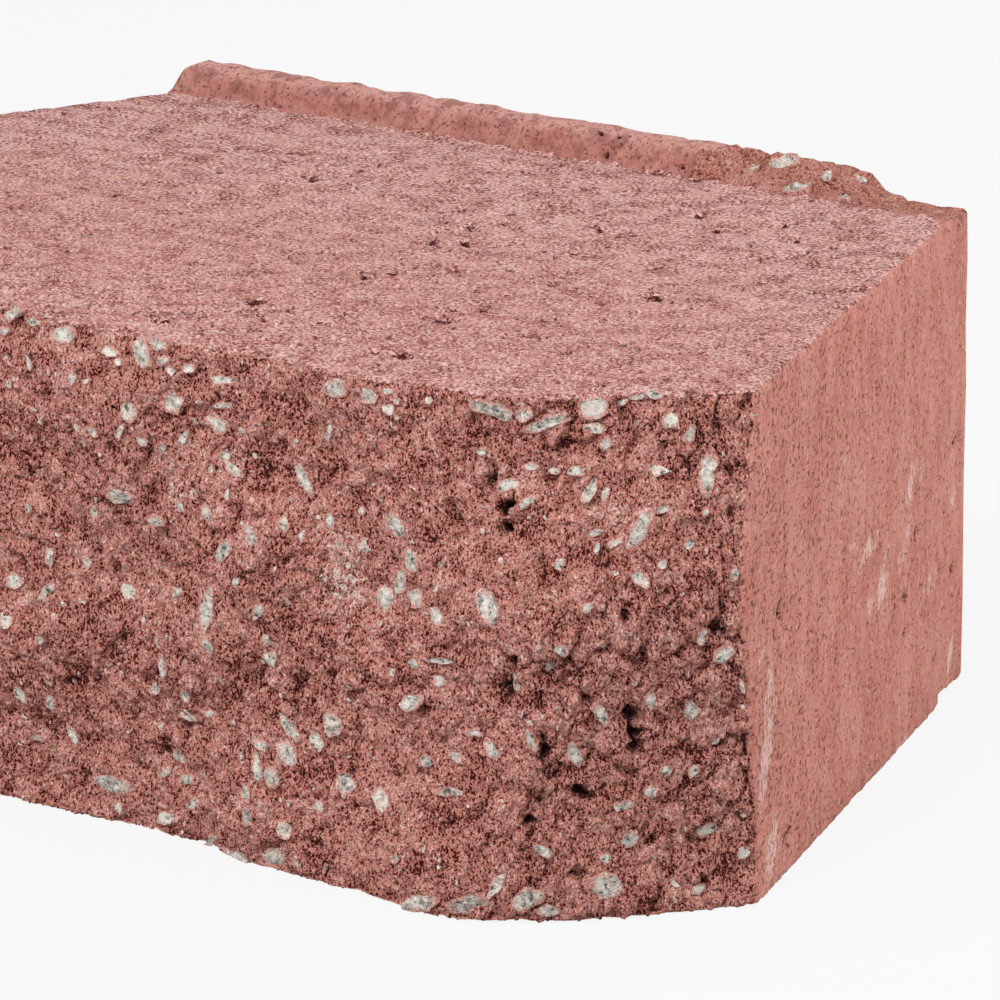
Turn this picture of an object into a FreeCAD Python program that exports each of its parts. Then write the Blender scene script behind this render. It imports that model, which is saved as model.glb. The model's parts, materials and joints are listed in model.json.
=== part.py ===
import FreeCAD, Part
import math
import os
import Sketcher

# A cast concrete retaining wall block, lying on its bed with its rear lip up.
# Frame: origin at the middle of the bed, +X along the face, +Y to the back, +Z up, millimetres.

# Driving sizes: the mould's form, then the break that splits its face, then the damage
SIZES = (
    ("face_width", 304.8, "across the two front corners, at mid relief"),
    ("back_width", 190.5, "across the back, where the tapered sides end"),
    ("course_height", 101.6, "bed to bearing face"),
    ("overall_depth", 188.5, "split line of the face to the back"),
    ("bevel_run", 26.5, "how far each corner facet reaches in from the side"),
    ("bevel_setback", 36.0, "how far each front corner lies behind the centre facet"),
    ("facet_blend", 6.0, "softness of the turn between two facets"),
    ("mould_allowance", 16.0, "stock in front of the split line, broken away"),
    ("lip_thickness", 17.5, "foot of the lip to the back"),
    ("lip_height", 6.3, "bearing face to the lip's crest"),
    ("lip_slope", 2.6, "how far the lip's front face leans back"),
    ("lip_crest_width", 5.6, "level crest of the lip, from its front edge"),
    ("lip_fall", 3.6, "how far the lip falls from its crest to the back"),
    ("lip_foot_radius", 1.4, "fillet where the lip meets the bearing face"),
    ("lip_crest_radius", 2.4, "rounding of the lip's edges from its crest to the back"),
    ("corner_radius", 2.4, "rounding of the two rear uprights"),
    ("relief_depth", 1.8, "height of the waves of the split face"),
    ("relief_spacing", 58.0, "length of the longest wave of the split face"),
    ("relief_drift", 9.0, "how far the waves wander, so that none runs straight"),
    ("boss_height", 18.0, "swell of the right front corner"),
    ("boss_reach", 24.0, "radius of that swell"),
    ("boss_level", 61.0, "its middle, above the bed"),
    ("shoulder_height", 8.0, "swell of the left front corner"),
    ("shoulder_reach", 27.0, "radius of that swell"),
    ("shoulder_level", 46.0, "its middle, above the bed"),
    ("toe_height", 6.5, "swell at the bed, inside the right corner facet"),
    ("toe_reach", 20.0, "radius of that swell"),
    ("toe_offset", 100.0, "its middle, to the right of the block's middle"),
    ("brow_height", 3.0, "swell under the bearing face"),
    ("brow_reach", 55.0, "radius of that swell"),
    ("brow_offset", 30.0, "its middle, to the right of the block's middle"),
    ("hollow_depth", 4.5, "hollow at the bed"),
    ("hollow_reach", 42.0, "radius of that hollow"),
    ("hollow_offset", 9.0, "its middle, to the right of the block's middle"),
    ("face_grid", 7.5, "spacing of the points that carry the split face"),
    ("break_length", 56.0, "lip that the break has bitten, from the right side"),
    ("stub_length", 16.0, "lip that is gone down to a stub, from the right side"),
    ("break_fall", 21.0, "length over which the crest falls to the stub"),
    ("break_lead", 9.0, "length over which the break bites into the lip's front"),
    ("break_climb", 15.0, "depth over which the break climbs from the lip's foot"),
    ("break_clearance", 2.5, "how far the break's surface clears the lip where it is whole"),
    ("stub_height", 0.3, "what is left of the lip on the stub"),
    ("stub_fall", 2.0, "how far the stub falls to the back"),
    ("break_relief", 0.45, "height of the waves of the break"),
    ("break_grid", 4.0, "spacing of the points that carry the break"),
    ("flake_length", 20.0, "flake lost along the right bed edge, from the back corner"),
    ("flake_height", 3.0, "height of that flake at its front end"),
    ("flake_reach", 5.0, "how far that flake reaches under the block"),
    ("cut_margin", 6.0, "how far each cutting shape runs past what it cuts"),
)

# Waves of a broken surface: heading in degrees, share of the spacing, share of the depth, phase in degrees
WAVES = (
    (21, 1.00, 1.00, 40),
    (104, 0.83, 0.80, 205),
    (152, 0.61, 0.60, 310),
    (66, 0.44, 0.45, 75),
    (123, 0.31, 0.40, 130),
)

# Points along the shorter side of a surface's net, at the least
FEWEST_STEPS = 4

# Each expression below names the sheet's cells, so a change of one cell moves all that depends on it
BACK = "(Sizes.overall_depth / 2)"
STOCK_FRONT = "(-Sizes.overall_depth / 2 - Sizes.mould_allowance)"
LIP_FOOT = "(Sizes.overall_depth / 2 - Sizes.lip_thickness)"
CREST = "(Sizes.course_height + Sizes.lip_height)"
SIDE_LENGTH = "(Sizes.overall_depth - Sizes.bevel_setback)"
TAPER = "((Sizes.face_width - Sizes.back_width) / 2 / %s)" % SIDE_LENGTH
STOCK_HALF = "(Sizes.back_width / 2 + (Sizes.overall_depth + Sizes.mould_allowance) * %s)" % TAPER


# Two lengths that differ by less than this are one length
ROUNDING = 0.01


def make_sheet(doc):
    """The spreadsheet of driving sizes, one named cell each."""
    sheet = doc.addObject("Spreadsheet::Sheet", "Sizes")
    for row, (alias, size, note) in enumerate(SIZES, start=1):
        sheet.set("A%d" % row, alias)
        sheet.set("B%d" % row, str(size))
        sheet.set("C%d" % row, note)
        sheet.setAlias("B%d" % row, alias)
    doc.recompute()
    return sheet


def own_plane(body, role):
    """The body's own origin plane of that role."""
    return next(plane for plane in body.Origin.OriginFeatures if plane.Role == role)


def draw_loops(body, name, role, loops):
    """A sketch of closed straight-sided loops; each corner is a pair of expressions."""
    sketch = body.newObject("Sketcher::SketchObject", name)
    sketch.AttachmentSupport = [(own_plane(body, role), "")]
    sketch.MapMode = "FlatFace"
    for loop in loops:
        first = sketch.GeometryCount
        spots = [FreeCAD.Vector(*(float(sketch.evalExpression(text)) for text in corner), 0) for corner in loop]
        for spot, following in zip(spots, spots[1:] + spots[:1]):
            sketch.addGeometry(Part.LineSegment(spot, following), False)
        for index, corner in enumerate(loop):
            line = first + index
            previous = first + (index - 1) % len(loop)
            sketch.addConstraint(Sketcher.Constraint("Coincident", previous, 2, line, 1))
            for kind, axis, text in (("DistanceX", -2, corner[0]), ("DistanceY", -1, corner[1])):
                bind_corner(sketch, line, kind, axis, text)
    return sketch


def bind_corner(sketch, line, kind, axis, text):
    """Holds the start of a line on an axis, or at a distance from the origin that the sheet gives."""
    if text == "0":
        sketch.addConstraint(Sketcher.Constraint("PointOnObject", line, 1, axis))
        return
    place = float(sketch.evalExpression(text))
    index = sketch.addConstraint(Sketcher.Constraint(kind, -1, 1, line, 1, place))
    sketch.setExpression("Constraints[%d]" % index, text)


def edges_where(shape, test):
    """Names of the edges whose two ends, start and end, pass the test."""
    return [
        "Edge%d" % number
        for number, edge in enumerate(shape.Edges, start=1)
        if test(edge.firstVertex().Point, edge.lastVertex().Point)
    ]


def round_edges(doc, body, base, name, radius, test):
    """A fillet, bound to one size, on the edges that pass the test."""
    fillet = body.newObject("PartDesign::Fillet", name)
    fillet.Base = (base, edges_where(base.Shape, test))
    fillet.setExpression("Radius", radius)
    doc.recompute()
    return fillet


def make_blank(doc, sheet):
    """The moulded block before its face is split: a section with its lip, cut to the tapered plan."""
    body = doc.addObject("PartDesign::Body", "blank")

    section = draw_loops(body, "side_section", "YZ_Plane", [[
        (STOCK_FRONT, "0"),
        (BACK, "0"),
        (BACK, "(%s - Sizes.lip_fall)" % CREST),
        ("(%s + Sizes.lip_slope + Sizes.lip_crest_width)" % LIP_FOOT, CREST),
        ("(%s + Sizes.lip_slope)" % LIP_FOOT, CREST),
        (LIP_FOOT, "Sizes.course_height"),
        (STOCK_FRONT, "Sizes.course_height"),
    ]])
    pad = body.newObject("PartDesign::Pad", "block_stock")
    pad.Profile = section
    pad.SideType = "Symmetric"
    pad.setExpression("Length", "2 * (%s + Sizes.cut_margin)" % STOCK_HALF)
    section.Visibility = False

    ahead = "(%s - Sizes.cut_margin)" % STOCK_FRONT
    behind = "(%s + Sizes.cut_margin)" % BACK
    narrow = "(Sizes.back_width / 2 - Sizes.cut_margin * %s)" % TAPER
    wide = "(%s + Sizes.cut_margin * %s)" % (STOCK_HALF, TAPER)
    clear = "(%s + 2 * Sizes.cut_margin)" % STOCK_HALF
    right = [(wide, ahead), (narrow, behind), (clear, behind), (clear, ahead)]
    left = [("-" + across, along) for across, along in right]
    plan = draw_loops(body, "side_tapers", "XY_Plane", [right, left])
    sides = body.newObject("PartDesign::Pocket", "tapered_sides")
    sides.Profile = plan
    sides.Type = "ThroughAll"
    sides.SideType = "Symmetric"
    plan.Visibility = False
    doc.recompute()

    back = sheet.overall_depth / 2
    foot = back - sheet.lip_thickness
    course = sheet.course_height
    shoulder = course + sheet.lip_height - sheet.lip_fall
    uprights = round_edges(doc, body, sides, "rear_uprights", "Sizes.corner_radius",
                           lambda start, end: same(start.y, end.y, back) and same(start.x, end.x))
    lip_foot = round_edges(doc, body, uprights, "lip_foot", "Sizes.lip_foot_radius",
                           lambda start, end: same(start.y, end.y, foot) and same(start.z, end.z, course))
    round_edges(doc, body, lip_foot, "lip_crest", "Sizes.lip_crest_radius",
                lambda start, end: min(start.z, end.z) > shoulder - ROUNDING)
    return body


def same(*values):
    """Whether all the values agree, but for rounding."""
    return max(values) - min(values) < ROUNDING


def waves(across, up, spacing, drift, depth):
    """The rolling relief of a break at one place."""
    turn = 2 * math.pi / spacing
    wandered = across + drift * math.sin(0.8 * turn * up)
    risen = up + drift * math.sin(0.7 * turn * across)
    total = 0.0
    for heading, length_share, height_share, phase in WAVES:
        angle = math.radians(heading)
        run = wandered * math.cos(angle) + risen * math.sin(angle)
        total += depth * height_share * math.sin(turn / length_share * run + math.radians(phase))
    return total


def swell(across, up, centre, reach, height):
    """A smooth rise of that height and radius round a centre."""
    gap = math.hypot(across - centre[0], up - centre[1])
    return height * math.exp(-((gap / reach) ** 2))


def ease(share):
    """Goes smoothly from 0 to 1 as the share does."""
    held = min(max(share, 0.0), 1.0)
    return held * held * (3 - 2 * held)


def face_setback(sheet, across):
    """How far the three facets lie behind the split line, with soft turns between them."""
    past = abs(across) - (sheet.face_width / 2 - sheet.bevel_run)
    slope = sheet.bevel_setback / sheet.bevel_run
    return slope * (past + math.hypot(past, sheet.facet_blend)) / 2


def face_relief(sheet, across, up):
    """How far the split face stands out from its facets at one place."""
    corner = sheet.face_width / 2
    total = waves(across, up, sheet.relief_spacing, sheet.relief_drift, sheet.relief_depth)
    total += swell(across, up, (corner, sheet.boss_level), sheet.boss_reach, sheet.boss_height)
    total += swell(across, up, (-corner, sheet.shoulder_level), sheet.shoulder_reach, sheet.shoulder_height)
    total += swell(across, up, (sheet.toe_offset, 0), sheet.toe_reach, sheet.toe_height)
    total += swell(across, up, (sheet.brow_offset, sheet.course_height), sheet.brow_reach, sheet.brow_height)
    total -= swell(across, up, (sheet.hollow_offset, 0), sheet.hollow_reach, sheet.hollow_depth)
    return total


def steps(low, high, spacing):
    """Evenly spaced values from low to high, about that far apart."""
    count = max(FEWEST_STEPS, math.ceil((high - low) / spacing))
    return [low + (high - low) * index / count for index in range(count + 1)]


def net_surface(rows):
    """A smooth surface that follows a net of control points."""
    degree = 3
    knots = [list(range(count - degree + 1)) for count in (len(rows), len(rows[0]))]
    repeats = [[degree + 1] + [1] * (len(line) - 2) + [degree + 1] for line in knots]
    surface = Part.BSplineSurface()
    surface.buildFromPolesMultsKnots(rows, *repeats, *knots, False, False, degree, degree)
    return surface.toShape()


def make_split(doc, sheet):
    """What the splitting blade knocks off: everything in front of the rough three-facet face."""
    taper = (sheet.face_width - sheet.back_width) / 2 / (sheet.overall_depth - sheet.bevel_setback)
    reach = sheet.cut_margin
    side = sheet.back_width / 2 + (sheet.overall_depth + sheet.mould_allowance) * taper + reach
    rows = []
    for across in steps(-side, side, sheet.face_grid):
        rows.append([
            FreeCAD.Vector(across, face_setback(sheet, across) - face_relief(sheet, across, up)
                           - sheet.overall_depth / 2, up)
            for up in steps(-reach, sheet.course_height + reach, sheet.face_grid)
        ])
    waste = doc.addObject("Part::Feature", "split_waste")
    waste.Shape = net_surface(rows).extrude(FreeCAD.Vector(0, -sheet.overall_depth, 0))
    waste.Placement = FreeCAD.Placement()
    return waste


def break_height(sheet, across, along):
    """Height of the lip's break over the bearing face: low at the lip's foot and over the stub."""
    side = sheet.back_width / 2
    foot = sheet.overall_depth / 2 - sheet.lip_thickness
    whole = 1 - ease((across - (side - sheet.break_length)) / sheet.break_lead)
    stub_start = side - sheet.stub_length
    crest = 1 - ease((across - (stub_start - sheet.break_fall)) / sheet.break_fall)
    climb = ease((along - foot) / sheet.break_climb)
    rise = max(whole, crest * climb)
    relief = waves(across, along, sheet.relief_spacing / 3, sheet.relief_drift / 3, sheet.break_relief)
    clear = sheet.lip_height + sheet.break_clearance
    worn = sheet.stub_fall * climb * (1 - rise)
    return sheet.stub_height - worn + clear * rise + relief * rise * (1 - whole)


def make_lip_break(doc, sheet):
    """The right end of the lip that has broken off."""
    side = sheet.back_width / 2
    back = sheet.overall_depth / 2
    reach = sheet.cut_margin
    rows = []
    for across in steps(side - sheet.break_length - reach, side + 2 * reach, sheet.break_grid):
        rows.append([
            FreeCAD.Vector(across, along, sheet.course_height + break_height(sheet, across, along))
            for along in steps(back - sheet.lip_thickness - reach, back + reach, sheet.break_grid)
        ])
    waste = doc.addObject("Part::Feature", "lip_waste")
    waste.Shape = net_surface(rows).extrude(FreeCAD.Vector(0, 0, sheet.course_height))
    waste.Placement = FreeCAD.Placement()
    return waste


def make_flake(doc):
    """The flake lost from the bed edge at the right rear corner, thinning out towards the back."""
    flake = doc.addObject("Part::Wedge", "bed_flake")
    for name, text in (
        ("Xmin", "-Sizes.flake_reach"),
        ("Xmax", "Sizes.cut_margin"),
        ("X2min", "-Sizes.flake_reach / 2"),
        ("X2max", "Sizes.cut_margin"),
        ("Ymin", "0"),
        ("Ymax", "Sizes.flake_length + Sizes.cut_margin"),
        ("Zmin", "-Sizes.cut_margin"),
        ("Zmax", "Sizes.flake_height"),
        ("Z2min", "-Sizes.cut_margin"),
        ("Z2max", "Sizes.flake_height / 4"),
        ("Placement.Base.x", "Sizes.back_width / 2 + Sizes.flake_length * %s" % TAPER),
        ("Placement.Base.y", "%s - Sizes.flake_length" % BACK),
        ("Placement.Rotation.Angle", "atan(%s)" % TAPER),
    ):
        flake.setExpression(name, text)
    return flake


def cut_away(doc, name, base, tool):
    """The base with the tool's volume taken off it."""
    result = doc.addObject("Part::Cut", name)
    result.Base = base
    result.Tool = tool
    return result


def check_objects(doc, parts):
    """Stops before anything is written if an object failed or a part isn't one sound solid."""
    for item in doc.Objects:
        if "Invalid" in item.State or "Error" in item.State:
            raise RuntimeError("%s failed: %s" % (item.Name, item.State))
    for item in parts:
        if item.Shape.isNull() or not item.Shape.isValid() or len(item.Shape.Solids) != 1:
            raise RuntimeError("%s isn't one valid solid" % item.Label)


def main():
    doc = FreeCAD.newDocument("retaining_wall_block")
    sheet = make_sheet(doc)
    blank = make_blank(doc, sheet)
    split = make_split(doc, sheet)
    lip_break = make_lip_break(doc, sheet)
    flake = make_flake(doc)
    split_block = cut_away(doc, "split_block", blank, split)
    worn_block = cut_away(doc, "worn_block", split_block, lip_break)
    block = cut_away(doc, "finished_block", worn_block, flake)
    block.Label = "block"
    block.Placement = FreeCAD.Placement()
    doc.recompute()

    parts = [block]
    check_objects(doc, parts)
    os.makedirs("parts", exist_ok=True)
    for item in parts:
        item.Shape.exportStep("parts/%s.step" % item.Label)
        box = item.Shape.optimalBoundingBox()
        print("%s: %.1f x %.1f x %.1f mm, %.3f litres" % (
            item.Label, box.XLength, box.YLength, box.ZLength, item.Shape.Volume / 1e6))


main()
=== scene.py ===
import json
import math

import bmesh
import bpy
import numpy as np
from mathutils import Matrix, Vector
from mathutils.bvhtree import BVHTree


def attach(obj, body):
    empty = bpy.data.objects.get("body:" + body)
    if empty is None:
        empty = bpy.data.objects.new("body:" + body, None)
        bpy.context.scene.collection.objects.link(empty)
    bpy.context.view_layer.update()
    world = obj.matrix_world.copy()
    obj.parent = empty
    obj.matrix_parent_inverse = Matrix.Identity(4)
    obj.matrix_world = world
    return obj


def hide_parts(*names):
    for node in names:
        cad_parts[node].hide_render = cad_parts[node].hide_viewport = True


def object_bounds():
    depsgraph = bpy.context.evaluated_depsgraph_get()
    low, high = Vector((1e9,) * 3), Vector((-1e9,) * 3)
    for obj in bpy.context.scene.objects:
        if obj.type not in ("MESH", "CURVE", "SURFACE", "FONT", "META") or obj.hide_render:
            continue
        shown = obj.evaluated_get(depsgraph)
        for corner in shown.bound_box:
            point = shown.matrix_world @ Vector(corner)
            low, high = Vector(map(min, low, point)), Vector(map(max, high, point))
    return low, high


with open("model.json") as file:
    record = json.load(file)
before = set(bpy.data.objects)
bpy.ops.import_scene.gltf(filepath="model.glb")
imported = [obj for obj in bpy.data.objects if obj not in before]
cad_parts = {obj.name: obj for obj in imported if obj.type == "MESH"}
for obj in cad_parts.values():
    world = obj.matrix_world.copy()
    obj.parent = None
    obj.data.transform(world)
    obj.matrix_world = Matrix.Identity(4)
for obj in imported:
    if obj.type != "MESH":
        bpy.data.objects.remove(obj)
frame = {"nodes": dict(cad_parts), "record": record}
cad_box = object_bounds()

MM = 0.001
NODE = frame["nodes"]["block"]
MOUNTS = {mount["name"]: mount["pos_m"] for mount in frame["record"]["mounts"]}

# The block's planes, in millimetres: the course height and the back come from the record
COURSE = MOUNTS["bearing_face"][2] / MM
BACK = MOUNTS["back_face"][1] / MM
BACK_HALF = 95.25
TAPER = 57.15 / 152.5
LIP_FOOT = 76.75
LIP_BREAK = 39.0
CREST = cad_box[1][2] / MM
LIP_LEAN = 2.6

# Where the split face ends along x, a place just in front of the block, and one far in front of it
FACE_LEFT = -153.0
FACE_RIGHT = 155.0
FOREMOST = -100
FAR_FRONT = -300

# The studio: the floor's half width and the height that the lamps look at, in metres, the light of
# the surroundings, the floor's grey and how white it shows, and the lamps, with their azimuth and
# elevation in degrees, distance and size in metres, and power in watts
FLOOR_HALF = 4.0
LAMP_AIM = 0.05
AMBIENT = 0.25
FLOOR_GREY = (0.55, 0.55, 0.55, 1)
FLOOR_WHITE = 0.88
LAMPS = (
    ("key", 20, 42, 1.5, 0.5, 13), ("overhead", 20, 80, 1.5, 1.4, 4.5),
    ("right_fill", 125, 20, 1.6, 1.2, 13.5), ("left_fill", -35, 25, 1.8, 1.4, 8.5),
    ("rear_fill", 190, 35, 1.8, 1.6, 7),
)

# The camera of the photograph, which is 1000 pixels wide and high
PHOTO = 1000
LENS = 313.8
SENSOR = 36.0
AZIMUTH = math.radians(37.41)
PITCH = math.radians(14.84)
DISTANCE = 1700
AIM = np.array((73.09, -34.25, 62.12))

SEED = 11

# Stones seen on the split face and the lip's break: middle, length and width in photo pixels, and turn
STONES = (
    (12, 314, 20, 11, 30), (35, 322, 15, 7, 0), (3, 331, 11, 9, 0), (62, 335, 25, 19, 10),
    (28, 363, 14, 7, -65), (73, 376, 17, 9, 80), (111, 352, 18, 8, -15), (120, 362, 8, 8, 0),
    (140, 354, 32, 20, -78), (161, 344, 17, 10, -20), (163, 360, 13, 9, 10), (170, 371, 11, 10, 0),
    (189, 367, 11, 9, 0), (224, 380, 26, 10, -5), (173, 403, 23, 19, 60), (129, 411, 21, 14, -80),
    (121, 430, 17, 5, 75), (217, 425, 24, 15, -25), (223, 405, 17, 7, 5), (203, 400, 8, 6, 0),
    (185, 439, 17, 10, 60), (144, 440, 12, 8, -25), (164, 446, 11, 7, 80), (92, 432, 13, 9, -20),
    (227, 456, 12, 10, 80), (235, 470, 26, 8, -35), (304, 478, 38, 10, -68), (330, 432, 22, 6, 74),
    (335, 389, 24, 18, 10), (120, 497, 28, 14, -14), (193, 494, 12, 9, -80), (180, 506, 12, 9, 80),
    (172, 489, 15, 5, 85), (159, 520, 13, 11, 0), (207, 516, 21, 10, -64), (93, 515, 15, 6, 85),
    (250, 535, 24, 12, -65), (220, 552, 27, 13, 48), (286, 525, 19, 10, -75), (303, 537, 13, 8, 60),
    (332, 521, 16, 9, -75), (48, 557, 22, 8, 86), (89, 562, 13, 7, -70), (14, 582, 20, 15, 8),
    (47, 592, 22, 8, 46), (126, 590, 20, 14, -75), (178, 592, 13, 12, 10), (205, 611, 43, 12, 80),
    (4, 619, 20, 13, -75), (258, 612, 18, 9, 65), (83, 601, 8, 5, 0), (369, 397, 17, 12, -15),
    (390, 408, 12, 11, 10), (390, 391, 10, 7, 0), (428, 400, 9, 6, 0), (494, 410, 48, 14, -18),
    (525, 414, 14, 13, 20), (549, 422, 54, 12, 19), (594, 407, 27, 23, 5), (595, 428, 22, 10, -4),
    (606, 444, 13, 9, 70), (622, 402, 12, 7, 20), (637, 397, 16, 6, 5), (654, 395, 16, 7, 0),
    (670, 421, 18, 13, -5), (689, 435, 23, 10, 62), (707, 474, 43, 15, 83), (661, 470, 20, 12, -12),
    (576, 471, 17, 10, -5), (553, 470, 9, 7, 0), (531, 467, 15, 7, 0), (483, 452, 10, 8, 0),
    (508, 485, 22, 13, 8), (531, 501, 22, 9, 32), (590, 491, 25, 11, 62), (605, 494, 14, 9, 70),
    (640, 530, 44, 15, 63), (663, 510, 11, 6, -10), (614, 543, 17, 9, 8), (595, 533, 17, 7, 10),
    (597, 547, 11, 8, -80), (396, 526, 27, 18, -80), (367, 546, 14, 11, -80), (409, 560, 24, 11, -76),
    (385, 600, 29, 19, -80), (398, 583, 25, 11, 74), (415, 597, 20, 13, -80), (434, 616, 17, 13, -35),
    (487, 607, 38, 23, -62), (559, 565, 15, 8, 85), (639, 579, 20, 13, -30), (689, 543, 14, 10, 60),
    (663, 565, 9, 8, 0), (734, 574, 12, 8, 70), (615, 572, 9, 7, 0), (438, 662, 29, 6, -3),
    (414, 663, 11, 9, 0), (412, 702, 23, 13, 22), (437, 682, 15, 11, -30), (562, 649, 14, 9, -42),
    (549, 670, 12, 10, 80), (702, 637, 17, 11, 75), (723, 655, 26, 14, 28), (512, 687, 25, 6, -80),
    (692, 710, 19, 16, -70), (651, 701, 20, 10, -80), (602, 714, 22, 13, -58), (557, 707, 8, 6, 0),
    (532, 741, 28, 8, -62), (493, 750, 25, 10, -58), (575, 756, 24, 12, -62), (473, 733, 18, 9, -10),
    (455, 757, 14, 10, -20), (427, 761, 14, 12, 0), (347, 784, 22, 18, -70), (381, 801, 25, 17, -80),
    (451, 792, 24, 9, 5), (651, 792, 16, 9, 15), (623, 805, 22, 9, 12), (667, 771, 11, 9, 0),
    (741, 686, 14, 6, -60), (51, 702, 17, 9, -70), (20, 694, 22, 9, -60), (73, 735, 26, 6, -70),
    (37, 739, 15, 6, -5), (113, 784, 42, 19, -8), (176, 757, 19, 9, -35), (167, 772, 13, 6, 50),
    (185, 780, 14, 11, 0), (195, 803, 13, 9, 20), (168, 818, 18, 13, 0), (122, 807, 11, 6, -80),
    (163, 669, 22, 7, 87), (154, 643, 14, 8, -60), (209, 646, 21, 11, -58),
    (151, 690, 11, 9, -60), (184, 697, 13, 10, 70), (185, 719, 16, 12, -10), (267, 639, 13, 7, 80),
    (271, 659, 18, 14, -80), (287, 729, 33, 13, -56), (289, 755, 28, 17, -62), (318, 741, 19, 12, -60),
    (263, 745, 17, 10, -20), (258, 767, 32, 9, -82), (274, 777, 22, 12, -66), (333, 723, 23, 17, -75),
    (249, 793, 16, 6, -75), (249, 817, 18, 8, -80), (285, 830, 17, 14, -60), (319, 806, 12, 10, -60),
    (271, 862, 23, 20, -60), (235, 855, 29, 10, -22), (210, 842, 14, 6, 35), (606, 885, 34, 28, 20),
    (468, 905, 38, 20, 10), (418, 903, 34, 15, 8), (497, 885, 26, 9, 55), (528, 898, 34, 22, 35),
    (548, 911, 24, 9, 8), (543, 850, 22, 11, -30), (630, 840, 18, 13, 20), (710, 834, 24, 12, 15),
    (741, 852, 12, 12, 0), (700, 890, 15, 11, 20), (720, 657, 14, 9, 20), (693, 770, 12, 8, 40),
    (754, 168, 11, 9, 0), (784, 162, 29, 12, 12), (797, 187, 24, 14, -3), (827, 178, 12, 11, 80),
    (863, 180, 15, 8, -20), (844, 200, 9, 5, 0),
)

# The finish of the surfaces, as colours of the display; the three darkest are painted shade for pits, pores
# and hollows
SHADE_BLACK = (0.11, 0.035, 0.025)
SHADE_DARK = (0.25, 0.07, 0.05)
SHADE_DEEP = (0.51, 0.215, 0.17)
RED_MID = (0.75, 0.475, 0.425)
RED_PALE = (0.83, 0.59, 0.54)
SAND = (0.94, 0.79, 0.75)

# Hollows of the split face: middle, width and height in photo pixels, and about how deep, in millimetres
HOLLOWS = (
    (487, 480, 9, 22, 3.0), (503, 511, 12, 24, 3.5), (508, 667, 9, 16, 2.5), (505, 695, 14, 26, 2.8),
    (541, 745, 12, 20, 3.0), (550, 771, 16, 18, 3.5), (640, 742, 18, 20, 3.5), (632, 718, 12, 18, 2.2),
    (694, 462, 5, 30, 1.9), (719, 424, 4, 12, 1.4), (533, 826, 10, 20, 3.2), (652, 839, 9, 10, 2.6),
    (537, 800, 20, 10, 1.6), (585, 800, 30, 12, 1.8), (600, 790, 40, 9, 1.4), (26, 470, 14, 24, 1.4),
    (262, 465, 14, 30, 1.4), (205, 520, 8, 22, 1.4), (235, 512, 8, 20, 1.4), (117, 572, 7, 20, 1.4),
    (165, 748, 12, 16, 1.8), (183, 700, 7, 12, 1.4), (110, 650, 20, 40, 1.0), (220, 560, 12, 22, 1.2),
    (630, 618, 9, 16, 1.8), (374, 797, 7, 20, 1.6), (660, 610, 12, 30, 1.0), (600, 560, 16, 20, 1.0),
)

# Pale scuffs and smears of dust: middle, width and height in photo pixels, and strength
PALE_MARKS = (
    (345, 575, 46, 100, 0.75), (325, 570, 20, 60, 0.6), (235, 470, 34, 50, 0.6), (345, 650, 36, 40, 0.5),
    (868, 550, 9, 24, 0.9), (881, 590, 10, 36, 0.9), (870, 606, 8, 26, 0.8), (854, 546, 8, 20, 0.7),
    (876, 540, 6, 20, 0.8), (862, 565, 8, 20, 0.7), (900, 560, 7, 26, 0.7), (915, 470, 10, 30, 0.7),
    (782, 640, 9, 14, 0.7), (762, 655, 8, 30, 0.7), (770, 720, 10, 60, 0.8),
    (910, 490, 7, 30, 0.9), (922, 472, 6, 20, 0.7), (909, 529, 6, 24, 0.8), (905, 552, 6, 20, 0.7),
    (953, 496, 5, 18, 0.9), (950, 655, 6, 34, 1.0), (932, 582, 16, 26, 0.6), (845, 460, 6, 12, 0.6),
    (903, 742, 12, 8, 0.7), (782, 876, 10, 12, 0.6), (766, 760, 11, 90, 0.9), (769, 690, 8, 60, 0.8),
    (772, 850, 11, 60, 0.9), (897, 520, 10, 60, 0.5), (884, 570, 14, 90, 0.45),
)
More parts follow.
